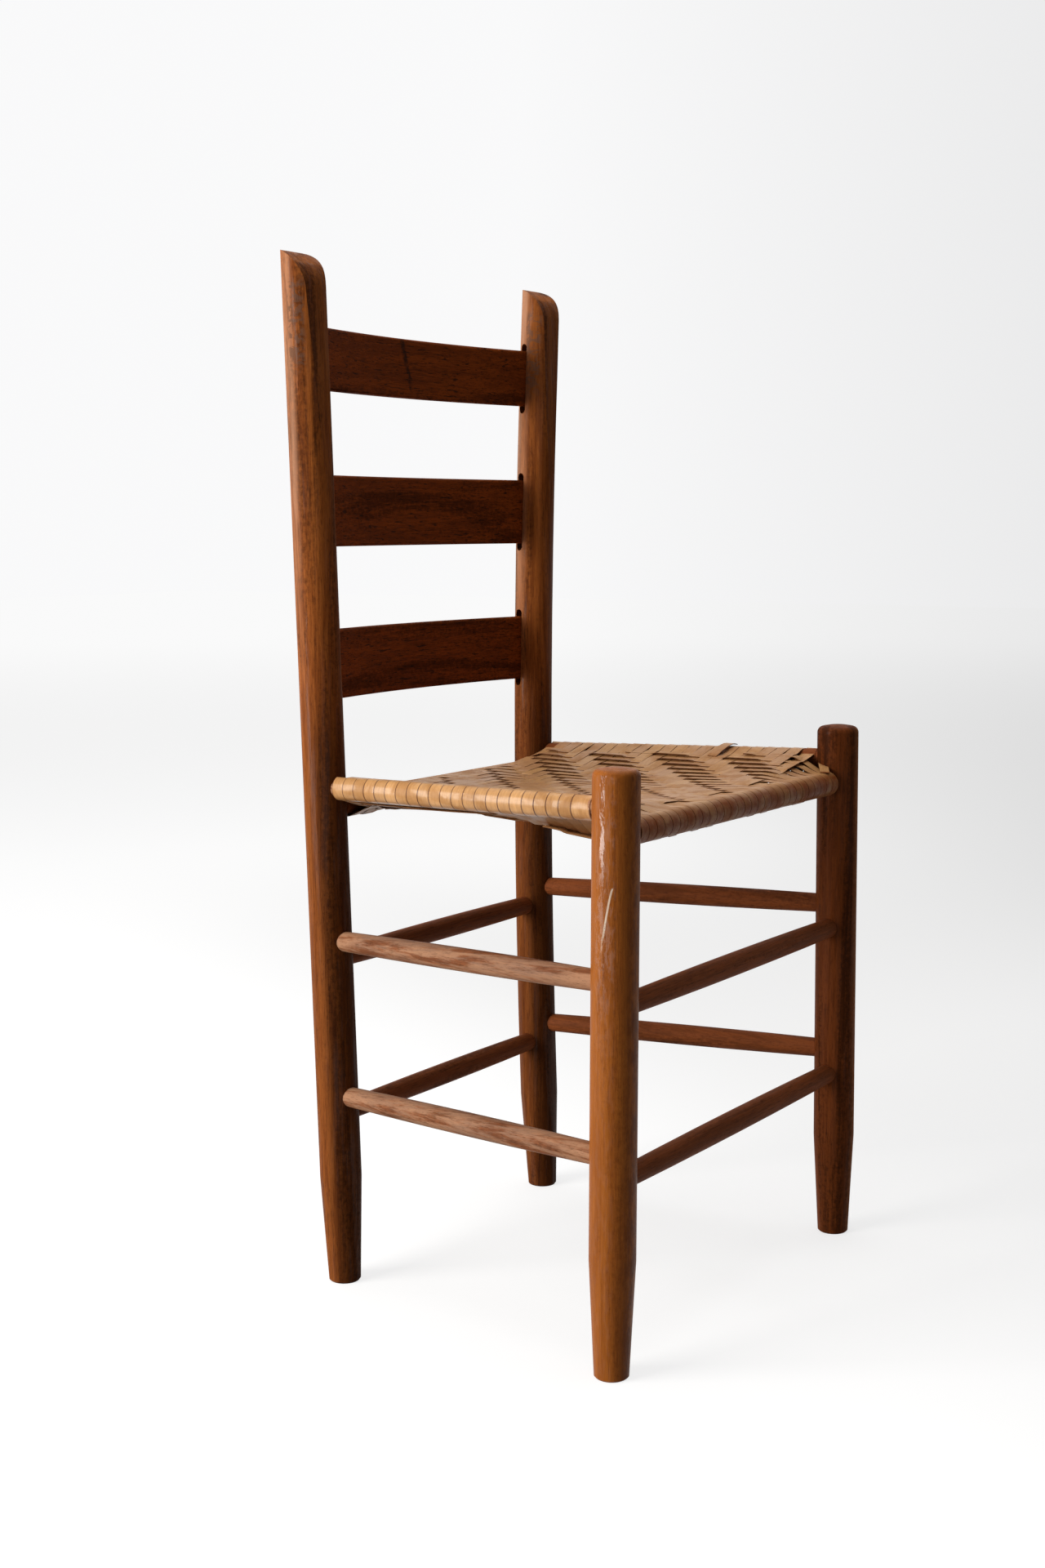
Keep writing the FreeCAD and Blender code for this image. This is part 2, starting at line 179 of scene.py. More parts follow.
# Finishes, from light to dark
polished_tones = ((0.410, 0.125, 0.017), (0.240, 0.064, 0.009), (0.085, 0.016, 0.002))
worn_tones = ((0.340, 0.100, 0.020), (0.190, 0.048, 0.009), (0.030, 0.008, 0.003))
shaded_tones = ((0.170, 0.042, 0.009), (0.100, 0.024, 0.005), (0.022, 0.006, 0.002))
slat_tones = ((0.230, 0.044, 0.005), (0.130, 0.024, 0.003), (0.012, 0.003, 0.001))
rung_tones = ((0.250, 0.068, 0.020), (0.150, 0.042, 0.013), (0.030, 0.010, 0.004))
far_post_share = 0.8           # the left back post's tones against the right one's
# a painted sheen of the window's light on the back posts
painted_sheen_tan = (0.620, 0.330, 0.200)
bare_orange = (0.500, 0.150, 0.030)
# the scratch's pale colour, partly a painted glint
pale_scratch_glint = (0.800, 0.660, 0.520)
scar_brown = (0.120, 0.062, 0.040)
rubbed_tan = (0.440, 0.230, 0.130)
rubbed_grey = (0.300, 0.165, 0.105)
# the wraps' gold, painted brighter for light that their lower sides don't get
splint_bright_lit = (0.700, 0.375, 0.145)
splint_gold = (0.590, 0.315, 0.120)
splint_tan = (0.490, 0.255, 0.115)
splint_brown = (0.230, 0.080, 0.022)
# painted shade in the gaps between neighbouring strips
splint_edge_shade = (0.070, 0.016, 0.004)
splint_grime_shade = (0.210, 0.050, 0.008)
grain_stretch = 0.05           # scale of the grain along a piece, against across it
wood_bump = 0.0010
splint_bump = 0.0005


# Building shader trees


class Nodes:
    """Adds nodes to a shader tree. Its methods take sockets or plain values and return a socket."""

    def __init__(self, tree):
        self.tree = tree

    def add(self, kind, **settings):
        node = self.tree.nodes.new("ShaderNode" + kind)
        for name, value in settings.items():
            setattr(node, name, value)
        return node

    def put(self, value, socket):
        """Links a socket, or sets a plain value, where a color comes without its alpha."""
        if isinstance(value, bpy.types.NodeSocket):
            self.tree.links.new(value, socket)
        elif socket.type == "RGBA":
            socket.default_value = (*value, 1.0)
        else:
            socket.default_value = value

    def filled(self, node, **values):
        for name, value in values.items():
            self.put(value, node.inputs[name.replace("_", " ")])
        return node

    def place(self):
        return self.add("TexCoord").outputs["Object"]

    def normal(self):
        return self.add("NewGeometry").outputs["Normal"]

    def attribute(self, name, output):
        return self.add("Attribute", attribute_name=name).outputs[output]

    def split(self, vector):
        return self.filled(self.add("SeparateXYZ"), Vector=vector).outputs

    def stretched(self, vector, scale, offset=(0.0, 0.0, 0.0)):
        node = self.filled(self.add("Mapping"), Vector=vector, Scale=scale, Location=offset)
        return node.outputs["Vector"]

    def noise(self, vector, scale, detail=3.0, rough=0.55, distortion=0.0):
        node = self.filled(self.add("TexNoise"), Vector=vector, Scale=scale, Detail=detail, Roughness=rough,
                           Distortion=distortion)
        return node.outputs["Fac"]

    def calc(self, operation, *values):
        node = self.add("Math", operation=operation)
        for value, socket in zip(values, node.inputs):
            self.put(value, socket)
        return node.outputs[0]

    def plus(self, a, b):
        return self.calc("ADD", a, b)

    def minus(self, a, b):
        return self.calc("SUBTRACT", a, b)

    def absolute(self, value):
        return self.calc("ABSOLUTE", value)

    def times(self, *values):
        product = values[0]
        for value in values[1:]:
            product = self.calc("MULTIPLY", product, value)
        return product

    def vector_math(self, operation, output, *vectors):
        node = self.add("VectorMath", operation=operation)
        for vector, socket in zip(vectors, node.inputs):
            self.put(vector, socket)
        return node.outputs[output]

    def dot(self, vector, direction):
        return self.vector_math("DOT_PRODUCT", "Value", vector, direction)

    def span(self, value, low, high, out_low=0.0, out_high=1.0):
        """Value rescaled from one range to another, smoothly and held at its ends."""
        node = self.add("MapRange", interpolation_type="SMOOTHSTEP")
        self.filled(node, Value=value, From_Min=low, From_Max=high, To_Min=out_low, To_Max=out_high)
        return node.outputs["Result"]

    def falling(self, value, low, high):
        return self.span(value, low, high, 1.0, 0.0)

    def mix(self, share, a, b):
        """Color a where the share is 0, color b where it is 1."""
        node = self.add("Mix", data_type="RGBA")
        for value, socket in zip((share, a, b), (node.inputs[0], node.inputs[6], node.inputs[7])):
            self.put(value, socket)
        return node.outputs[2]

    def blend(self, share, a, b):
        """The same for plain numbers."""
        return self.plus(self.times(share, b), self.times(self.minus(1.0, share), a))

    def group(self, group, **sources):
        return self.filled(self.add("Group", node_tree=group), **sources).outputs

    def bump(self, height, distance, strength):
        node = self.filled(self.add("Bump"), Height=height, Distance=distance, Strength=strength)
        return node.outputs["Normal"]


def new_group(name, inputs, outputs):
    """A node group with vector inputs and number outputs; returns its nodes and its two ends' sockets."""
    tree = bpy.data.node_groups.new(name, "ShaderNodeTree")
    for socket in inputs:
        tree.interface.new_socket(socket, in_out="INPUT", socket_type="NodeSocketVector")
    for socket in outputs:
        tree.interface.new_socket(socket, in_out="OUTPUT", socket_type="NodeSocketFloat")
    return Nodes(tree), tree.nodes.new("NodeGroupInput").outputs, tree.nodes.new("NodeGroupOutput").inputs


def new_material(name):
    """A material with its nodes and its surface shader's sockets."""
    material = bpy.data.materials.new(name)
    material.use_nodes = True
    return material, Nodes(material.node_tree), material.node_tree.nodes["Principled BSDF"].inputs


# Shared effects


def wood_figure_group():
    """Streaks, pores and stains of old varnished wood. Grain comes in stretched along the piece."""
    n, given, result = new_group(
        "wood_figure", ("Grain", "Place"), ("Streaks", "Pores", "Stains", "Gloss", "Height"))
    grain = given["Grain"]
    broad = n.noise(grain, scale=110.0, detail=5.0, rough=0.62, distortion=0.5)
    fine = n.noise(grain, scale=480.0, detail=4.0, rough=0.7)
    pores = n.noise(grain, scale=1300.0, detail=3.0, rough=0.75)
    blotches = n.noise(grain, scale=34.0, detail=6.0, rough=0.72, distortion=0.8)
    specks = n.noise(given["Place"], scale=240.0, detail=4.0, rough=0.75)
    dents = n.noise(given["Place"], scale=75.0)
    gloss = n.noise(grain, scale=130.0, detail=5.0, rough=0.7)
    streaks = n.plus(n.times(broad, 0.55), n.times(fine, 0.45))
    stains = n.plus(n.times(blotches, 0.72), n.times(specks, 0.28))
    raised = n.plus(n.times(fine, 0.5), n.times(dents, 0.6))
    n.put(n.span(streaks, 0.38, 0.62), result["Streaks"])
    n.put(n.span(pores, 0.54, 0.66), result["Pores"])
    n.put(n.span(stains, 0.50, 0.62), result["Stains"])
    n.put(n.span(gloss, 0.50, 0.60), result["Gloss"])
    n.put(n.minus(raised, n.times(pores, 0.4)), result["Height"])
    return n.tree


def splint_fibres_group():
    """Fine fibres and patches of a wood splint, from its own length and width."""
    n, given, result = new_group("splint_fibres", ("Strip", "Place"), ("Fibres", "Patches", "Height"))
    strip = given["Strip"]
    coarse = n.noise(strip, scale=1.0, detail=3.0, rough=0.6, distortion=0.2)
    fine = n.noise(n.stretched(strip, (1.6, 3.2, 1.0)), scale=1.0, detail=3.0, rough=0.7)
    patches = n.noise(given["Place"], scale=34.0, detail=4.0, rough=0.6, distortion=0.8)
    fibres = n.plus(n.times(coarse, 0.55), n.times(fine, 0.45))
    n.put(n.span(fibres, 0.36, 0.64), result["Fibres"])
    n.put(n.span(patches, 0.38, 0.66), result["Patches"])
    n.put(fibres, result["Height"])
    return n.tree


# Materials


class Varnish:
    """Old varnish on wood whose grain runs along one axis. Each finish lays its own wear over it, and some
    lay painted light and shade too.
    """

    def __init__(self, name, along, tones, offset, streak, stain, dash, gloss):
        self.material, self.nodes, self.sockets = new_material(name)
        self.offset = offset
        n = self.nodes
        self.place = n.place()
        self.normal = n.normal()
        self.grain = self.stretched(*(grain_stretch if axis == along else 1.0 for axis in "xyz"))
        self.figure = n.group(figure_group, Grain=self.grain, Place=self.stretched(1.0, 1.0, 1.0))
        light, self.color, dark = tones
        even = (1.0 - streak) / 2
        self.lay(n.span(self.figure["Streaks"], 0.0, 1.0, even, 1.0 - even), light)
        self.lay(n.times(self.figure["Stains"], stain), dark)
        self.lay(n.times(self.figure["Pores"], dash), dark)
        dullness = 0.58 - 0.20 * gloss
        n.put(n.span(self.figure["Stains"], 0.0, 1.0, dullness, dullness + 0.14), self.sockets["Roughness"])
        self.sockets["Specular IOR Level"].default_value = 0.03 + 0.05 * gloss
        n.put(n.bump(self.figure["Height"], wood_bump, 0.6), self.sockets["Normal"])

    def stretched(self, *scale):
        """The place on the piece, scaled along each axis, and moved so that no two pieces look alike."""
        return self.nodes.stretched(self.place, scale, self.offset)

    def lay(self, share, color):
        self.color = self.nodes.mix(share, self.color, color)

    def facing(self, direction, low, high, out_low=0.0, out_high=1.0):
        """How far the surface faces a direction, between two cosines."""
        n = self.nodes
        return n.span(n.dot(self.normal, direction), low, high, out_low, out_high)

    def finish(self, coat=None, coat_roughness=0.0):
        self.nodes.put(self.color, self.sockets["Base Color"])
        if coat is not None:
            self.nodes.put(coat, self.sockets["Coat Weight"])
            self.sockets["Coat Roughness"].default_value = coat_roughness
        return self.material


def scratch_and_glint(wood, z):
    """A thin curved line, whole at its top and broken lower down, on the side that faces the camera: a
    scratch, painted partly as a glint of light.
    """
    n = wood.nodes
    down = n.absolute(n.minus(z, scratch_top))
    bend = n.times(scratch_bend, n.calc("POWER", down, scratch_curve))
    aside = n.minus(n.plus(n.dot(wood.place, across_view), bend), scratch_side)
    line = n.falling(n.absolute(aside), *scratch_edges)
    fading_out = n.span(z, scratch_top - scratch_length, scratch_top - 0.5 * scratch_length)
    top_end = n.falling(z, scratch_top - 0.002, scratch_top)
    whole = n.span(z, scratch_top - scratch_whole - 0.004, scratch_top - scratch_whole + 0.004)
    broken = n.span(n.noise(wood.place, scale=420.0, detail=3.0, rough=0.7), 0.36, 0.52)
    return n.times(line, fading_out, top_end, n.calc("MAXIMUM", whole, broken),
                   wood.facing(toward_view, 0.0, 0.1))


def polished_post_finish(name, offset):
    """The right front post: smooth orange varnish, shiny in broken patches, with mottled painted shade on
    its dark side and one pale scratch that is partly a painted glint.
    """
    wood = Varnish(name, "z", polished_tones, offset, streak=0.45, stain=0.45, dash=0.25, gloss=1.0)
    n = wood.nodes
    z = n.split(wood.place)["Z"]
    # painted shade: dark mottling on the side of the post turned away from the light
    mottled_shade = n.span(n.noise(wood.stretched(1.0, 1.0, 0.35), scale=130.0, detail=5.0, rough=0.7),
                     0.38, 0.60, 0.10, 0.70)
    wood.lay(n.times(wood.facing(across_view, 0.15, 0.85), mottled_shade), polished_tones[2])
    # a pale scratch, partly a painted highlight glinting along it
    wood.lay(n.times(scratch_and_glint(wood, z), 0.8), pale_scratch_glint)
    patches = n.span(n.noise(wood.stretched(1.0, 1.0, 0.30), scale=260.0, detail=5.0, rough=0.8), 0.49, 0.54)
    polish = n.times(patches, wood.facing(polished_side, 0.84, 0.97), n.span(z, 0.27, 0.36, 0.25, 1.0))
    return wood.finish(polish, 0.07)


def plain_post_finish(name, offset):
    """The left front post: dull and brown, with painted light, lighter and warmer, on its side away from the
    window.
    """
    wood = Varnish(name, "z", shaded_tones, offset, streak=0.8, stain=0.7, dash=0.55, gloss=0.2)
    # painted light: the side turned away from the window gets a lighter orange, for light that doesn't reach
    # it
    wood.lay(wood.facing(shaded_side, 0.2, 0.8, 0.0, 0.45), polished_tones[0])
    return wood.finish(wood.nodes.times(wood.figure["Gloss"], 0.05), 0.2)


def back_post_finish(name, tones, offset):
    """Back posts: painted shade below and on the side away from the light, a painted sheen where the light
    falls, scarred, bare on the shaved front's edge.
    """
    wood = Varnish(name, "z", tones, offset, streak=0.85, stain=0.7, dash=0.6, gloss=0.1)
    n = wood.nodes
    z = n.split(wood.place)["Z"]

    # painted shade under the seat's height, weaker on the side towards the window
    low = n.span(z, shade_below - 0.06, shade_below + 0.04, 0.62, 0.0)
    wood.lay(n.times(low, wood.facing(lit_side, 0.45, 0.90, 1.0, 0.35)), slat_tones[2])
    # painted shade on the side turned away from the window
    wood.lay(wood.facing(shaded_side, 0.2, 0.8, 0.0, 0.45), worn_tones[2])
    blots = n.noise(wood.grain, scale=190.0, detail=6.0, rough=0.75, distortion=0.6)
    wood.lay(n.span(blots, 0.56, 0.66, 0.0, 0.5), worn_tones[2])

    # painted highlight: a cloudy pale tan sheen on the side facing the window
    cloudy = n.span(n.noise(wood.grain, scale=60.0, detail=5.0, rough=0.7), 0.38, 0.60, 0.35, 1.0)
    fade = n.times(wood.facing(lit_side, 0.72, 1.0), cloudy, n.span(z, *sheen_heights))
    wood.lay(n.times(fade, 0.55), painted_sheen_tan)

    cuts = n.noise(wood.stretched(0.7, 0.7, 1.0), scale=130.0, detail=5.0, rough=0.7, distortion=0.8)
    scar_low, scar_high = scar_heights
    window = n.times(n.span(z, scar_low, scar_low + 0.03), n.falling(z, scar_high - 0.01, scar_high))
    scars = n.times(n.span(cuts, 0.47, 0.53), window, wood.facing(scarred_side, 0.86, 0.96))
    wood.lay(n.times(scars, 0.7), scar_brown)

    edge = n.times(wood.facing(front_side, 0.50, 0.66), wood.facing(front_side, 0.74, 0.82, 1.0, 0.0))
    rubbed = n.span(n.noise(wood.grain, scale=100.0, detail=4.0, rough=0.7), 0.40, 0.58, 0.2, 1.0)
    wood.lay(n.times(edge, rubbed, n.span(z, *ridge_heights), 0.5), bare_orange)
    return wood.finish(n.times(wood.figure["Gloss"], 0.15), 0.22)


def slat_finish(name, offset):
    """Dark red boards with short black dashes of grain; the top one has a dark upright mark."""
    wood = Varnish(name, "x", slat_tones, offset, streak=0.8, stain=0.6, dash=0.8, gloss=0.1)
    n = wood.nodes
    dark = slat_tones[2]
    dashes = n.noise(wood.stretched(0.11, 1.0, 1.0), scale=520.0, detail=2.0, rough=0.6)
    wood.lay(n.span(dashes, 0.60, 0.68, 0.0, 0.8), dark)

    at = n.split(wood.place)
    aloft = n.minus(at["Z"], slat_mark_z)
    ragged = n.calc("MULTIPLY_ADD", n.noise(wood.place, scale=160.0, detail=3.0, rough=0.6), 0.006, -0.003)
    aside = n.calc("MULTIPLY_ADD", aloft, slat_mark_slant, n.minus(n.plus(at["X"], ragged), slat_mark_x))
    mark = n.times(n.falling(n.absolute(aside), 0.3 * slat_mark_half_width, slat_mark_half_width),
                   n.falling(n.absolute(aloft), 0.8 * slat_mark_half_height, slat_mark_half_height),
                   wood.facing(front_side, 0.2, 0.4))
    faint = n.span(n.noise(wood.place, scale=90.0, detail=3.0, rough=0.6), 0.40, 0.58, 0.15, 0.85)
    wood.lay(n.times(mark, faint), dark)
    return wood.finish()


def rung_finish(name, along, offset, rubbed):
    """Rungs: dark reddish brown; the rubbed ones are worn to a greyish tan."""
    wood = Varnish(name, along, rung_tones, offset, streak=0.8, stain=0.5, dash=0.5, gloss=0.2)
    if rubbed:
        n = wood.nodes
        from_middle = n.absolute(n.split(wood.place)["Y"])
        paler = n.mix(n.span(from_middle, rung_end, rung_end + 0.03), rubbed_grey, rubbed_tan)
        bare = n.mix(wood.figure["Streaks"], paler, rubbed_tan)
        wear = n.noise(wood.grain, scale=150.0, detail=4.0, rough=0.7)
        wood.lay(n.span(wear, 0.36, 0.56, 0.15, 0.9), bare)
        wood.lay(n.times(wood.figure["Pores"], 0.4), rung_tones[2])
    return wood.finish()


def splint_finish(name):
    """Golden splints, each strip in its own tone, with painted shade along their edges and undersides, wraps
    painted brighter round the side rails, and grime with painted shade along the front rail.
    """
    material, n, sockets = new_material(name)
    place = n.place()
    normal = n.normal()
    tone = n.attribute("tone", "Fac")
    rim = n.attribute("rim", "Fac")
    handled_and_lit = n.attribute("handled_and_lit", "Fac")
    fibres = n.group(fibres_group, Strip=n.attribute("strip", "Vector"), Place=place)

    on_seat = n.mix(n.times(tone, 0.8), splint_tan, splint_gold)
    # the wraps round the side rails: handled gold, and painted light, brighter than the seat's top
    color = n.mix(handled_and_lit, on_seat, n.mix(tone, splint_gold, splint_bright_lit))
    color = n.mix(n.times(fibres["Fibres"], 0.30), color, splint_brown)
    color = n.mix(n.times(fibres["Patches"], 0.35), color, splint_brown)

    # grime along the front rail, partly painted shade: darker on faces turned to the front and down, away
    # from the light
    near_front = n.falling(n.split(place)["Y"], front_y + 0.002, front_y + 0.014)
    front = n.times(near_front, n.span(n.dot(normal, under_front_side), -0.35, 0.5))
    grime = n.span(n.noise(place, scale=70.0, detail=5.0, rough=0.7), 0.38, 0.62, 0.55, 1.0)
    color = n.mix(n.times(front, grime), color, splint_grime_shade)
    # painted shade: surfaces that face down are darkened towards brown
    color = n.mix(n.times(n.span(n.dot(normal, under_side), 0.5, 0.9), 0.45), color, splint_brown)
    # painted shade along each strip's edges, where it meets its neighbours
    color = n.mix(n.span(rim, 0.83, 0.90, 0.0, 0.90), color, splint_edge_shade)
    n.put(color, sockets["Base Color"])

    n.put(n.span(fibres["Patches"], 0.0, 1.0, 0.36, 0.55), sockets["Roughness"])
    sockets["Specular IOR Level"].default_value = 0.10
    gleam = n.times(n.span(fibres["Patches"], 0.2, 0.8, 0.50, 0.10), n.falling(front, 0.0, 0.5), handled_and_lit)
    n.put(gleam, sockets["Coat Weight"])
    sockets["Coat Roughness"].default_value = 0.24
    n.put(n.bump(fibres["Height"], splint_bump, 0.5), sockets["Normal"])
    return material


# Where the frame's rails are


def end_rail(node):
    """Depth, height and radius of the front or back seat rail."""
    low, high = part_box(node)
    middle = (low + high) / 2
    return middle.y, middle.z, (high.z - low.z) / 2


def side_rail(node):
    """The front and back end of the left seat rail's axis."""
    low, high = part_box(node)
    near = Vector((high.x - side_rail_radius, low.y, high.z - side_rail_radius))
    far = Vector((low.x + side_rail_radius, high.y, low.z + side_rail_radius))
    return near, far


front_y, front_z, end_rail_radius = end_rail("seat_rail_front")
back_y, back_z, _ = end_rail("seat_rail_back")
side_rail_near, side_rail_far = side_rail("seat_rail_left")
seat_depth = back_y - front_y
seat_width = 2 * side_rail_near.x
wrap_end = end_rail_radius + splint_thickness / 2 + end_clearance
wrap_side = side_rail_radius + splint_thickness / 2 + side_clearance
first_weft_y = front_y + front_post_radius + post_gap
last_weft_y = back_y - back_post_radius - post_gap
weft_pitch = (last_weft_y - first_weft_y) / weft_count


def side_rail_at(y):
    """Axis of the left side rail at a depth: how far out, and how high."""
    share = (y - side_rail_near.y) / (side_rail_far.y - side_rail_near.y)
    spot = side_rail_near.lerp(side_rail_far, share)
    return spot.x, spot.z


def smooth(t):
    t = min(max(t, 0.0), 1.0)
    return t * t * (3 - 2 * t)


# Form of the seat


def crowned(x, y, middle, rail_level, blend):
    """From a height in the middle of the seat up to the side rails', flat along the front and back rails."""
    ends = smooth((y - front_y) / blend) * smooth((back_y - y) / front_blend)
    out, _ = side_rail_at(y)
    return middle + (rail_level - middle) * ends * min(abs(x) / out, 1.0) ** crown_power


def seat_top(x, y):
    """Height of the middle of the weave on top of the seat."""
    share = (y - front_y) / seat_depth
    middle = front_z + wrap_end + (back_z - front_z) * share - 4 * seat_sag * share * (1 - share)
    return crowned(x, y, middle, side_rail_at(y)[1] + wrap_side, front_blend)


def seat_bottom(x, y):
    """The same for the underside, which stays flatter towards the front."""
    share = (y - front_y) / seat_depth
    middle = front_z - wrap_end + (back_z - front_z) * share + 4 * under_lift * share * (1 - share)
    return crowned(x, y, middle, side_rail_at(y)[1] - wrap_side, under_blend)


def loose_seat_bottom(slack):
    return lambda x, y: seat_bottom(x, y) - slack


# Weave


def weft_edge(row, x):
    """Depth of a weft's front edge. On the right side the first one is wide, on the left all are even."""
    even = first_weft_y + row * weft_pitch
    wide = even
    if row > 0:
        rest = (last_weft_y - first_weft_y - first_weft_width) / (weft_count - 1)
        wide = first_weft_y + first_weft_width + (row - 1) * rest
    return wide + (even - wide) * smooth(0.5 + x / seat_width)


def weft_middle(row, x):
    return (weft_edge(row, x) + weft_edge(row + 1, x)) / 2


def weft_on_top(column, row):
    return (column - row - weave_phase) % weave_repeat < weft_over


def step_between(position, on_top):
    """The heights of a splint at the crossings before and after a place, and how far it is between them."""
    low = math.floor(position)
    before, after = (1.0 if on_top(i) else -1.0 for i in (low, low + 1))
    return before, after, position - low


def weft_swing(position, row):
    """How high a weft stands, from -1 to 1. It dives before it reaches the warp that it goes under."""
    before, after, share = step_between(position, lambda column: weft_on_top(column, row))
    start = 0.0 if before > after else 1.0 - weft_dive
    return before + (after - before) * smooth((share - start) / weft_dive)


def warp_swing(position, column):
    before, after, share = step_between(position, lambda row: not weft_on_top(column, row))
    return before + (after - before) * smooth((share - (1.0 - warp_dive) / 2) / warp_dive)


def weft_position(x, y):
    """Which weft lies at a place, counted from the front, and how far towards the next one's middle."""
    row = min(max(int((y - first_weft_y) / weft_pitch), 0), weft_count - 1)
    while row > 0 and weft_middle(row, x) > y:
        row -= 1
    while row < weft_count - 1 and weft_middle(row + 1, x) <= y:
        row += 1
    return row + (y - weft_middle(row, x)) / (weft_middle(row + 1, x) - weft_middle(row, x))


class StripMesh:
    """Collects thin strips as one mesh, with each point's place along and across its strip."""

    profile = ((0.0, splint_half_profile[0][1]), *splint_half_profile,
               *((-x, z) for x, z in reversed(splint_half_profile)))

    def __init__(self):
        self.points = []
        self.faces = []
        self.marks = {"strip": [], "tone": [], "rim": [], "handled_and_lit": []}

    def add(self, path, sideways, widths, closed):
        """A strip along a path of points; sideways is its width's direction, widths one per point."""
        tone = random.random()
        seed = random.uniform(0.0, 40.0)
        count = len(path)
        first = len(self.points)
        length = 0.0
        for i, here in enumerate(path):
            before = path[i - 1] if closed or i else path[0]
            after = path[(i + 1) % count] if closed or i < count - 1 else path[-1]
            forward = (after - before).normalized()
            side = (sideways - forward * sideways.dot(forward)).normalized()
            up = forward.cross(side)
            if i:
                length += (here - path[i - 1]).length
            outside = smooth((abs(here.x) - side_rail_at(here.y)[0] + 0.004) / 0.006)
            for across, lift in self.profile:
                reach = across * widths[i] / 2
                self.points.append(here + side * reach + up * (lift * splint_thickness))
                fibre_place = (length * fibre_scale_along + seed, reach * fibre_scale_across, seed)
                self.marks["strip"].append(fibre_place)
                self.marks["tone"].append(tone)
                self.marks["rim"].append(abs(across) * (0.90 + 0.10 * outside))
                # the wraps: handled, and painted brighter
                self.marks["handled_and_lit"].append(outside)
        self.add_faces(first, count, closed)

    def add_faces(self, first, count, closed):
        ring = len(self.profile)
        for i in range(count if closed else count - 1):
            a = first + i * ring
            b = first + (i + 1) % count * ring
            for j in range(ring):
                k = (j + 1) % ring
                self.faces.append((a + j, b + j, b + k, a + k))
        if not closed:
            last = first + (count - 1) * ring
            self.faces.append(tuple(first + j for j in range(ring)))
            self.faces.append(tuple(last + j for j in reversed(range(ring))))

    def build(self, name, material):
        mesh = bpy.data.meshes.new(name)
        mesh.from_pydata([tuple(point) for point in self.points], [], self.faces)
        for mark, values in self.marks.items():
            if mark == "strip":
                flat = [part for value in values for part in value]
                mesh.attributes.new(mark, "FLOAT_VECTOR", "POINT").data.foreach_set("vector", flat)
            else:
                mesh.attributes.new(mark, "FLOAT", "POINT").data.foreach_set("value", values)
        mesh.polygons.foreach_set("use_smooth", [True] * len(mesh.polygons))
        mesh.validate()
        mesh.materials.append(material)
        piece = bpy.data.objects.new(name, mesh)
        bpy.context.scene.collection.objects.link(piece)
        return piece


# Paths of the splints


def arc(start_degrees, stop_degrees, spot):
    """Points on a rail between two angles, without the ends; spot gives the point at an angle."""
    turn = (stop_degrees - start_degrees) / wrap_steps
    return [spot(math.radians(start_degrees + turn * i)) for i in range(1, wrap_steps)]


def side_wrap(row, sign, start_degrees, stop_degrees):
    """Part of a weft round one side rail; the angles are measured from straight out."""
    y = weft_middle(row, sign * seat_width / 2)
    out, rail_z = side_rail_at(y)
    return arc(start_degrees, stop_degrees, lambda angle: Vector(
        (sign * (out + wrap_side * math.cos(angle)), y, rail_z + wrap_side * math.sin(angle))))


def end_wrap(x, rail_y, rail_z, start_degrees, stop_degrees):
    """Part of a warp round the front or back rail; the angles are measured from straight back."""
    return arc(start_degrees, stop_degrees, lambda angle: Vector(
        (x, rail_y + wrap_end * math.cos(angle), rail_z + wrap_end * math.sin(angle))))


def weft_run(row, edge, height, sign, rise):
    """One run of a weft between two points beside the rails, on the top or the underside."""
    steps = int(2 * edge / warp_pitch * cell_steps)
    run = []
    for i in range(steps + 1):
        x = sign * (-edge + 2 * edge * i / steps)
        y = weft_middle(row, x)
        fade = smooth((edge - abs(x)) / flat_reach)
        run.append(Vector((x, y, height(x, y) + rise * fade * weft_swing(x / warp_pitch, row))))
    return run


def warp_run(column, start, stop, height, rise):
    """One run of a warp between two depths, on the top or the underside."""
    x = column * warp_pitch
    steps = max(2, int(abs(stop - start) / weft_pitch * cell_steps))
    run = []
    for i in range(steps + 1):
        y = start + (stop - start) * i / steps
        fade = smooth((y - front_y) / flat_reach) * smooth((back_y - y) / flat_reach)
        run.append(Vector((x, y, height(x, y) + rise * fade * warp_swing(weft_position(x, y), column))))
    return run


def weft_path(row):
    """Round both side rails: over the top from right to left, then back underneath."""
    out, _ = side_rail_at(weft_middle(row, 0))
    below = loose_seat_bottom(random.uniform(0.0, weft_slack))
    meets, leaves = weft_wrap
    return (weft_run(row, out - weft_top_inset, seat_top, 1, splint_rise)
            + side_wrap(row, 1, meets, leaves)
            + weft_run(row, out - weft_under_inset, below, -1, -under_swing * splint_rise)
            + side_wrap(row, -1, leaves, meets))


def weft_widths(row, path):
    spare = random.uniform(0.0, splint_gap)
    return [weft_edge(row + 1, point.x) - weft_edge(row, point.x) - spare for point in path]


def warp_path(column):
    """Round the front and back rails: over the top from front to back, then back underneath."""
    x = column * warp_pitch
    below = loose_seat_bottom(random.uniform(0.0, warp_slack))
    return (warp_run(column, front_y, back_y, seat_top, splint_rise)
            + end_wrap(x, back_y, back_z, 90, -90)
            + warp_run(column, back_y, front_y, below, -under_swing * splint_rise)
            + end_wrap(x, front_y, front_z, -90, -270))


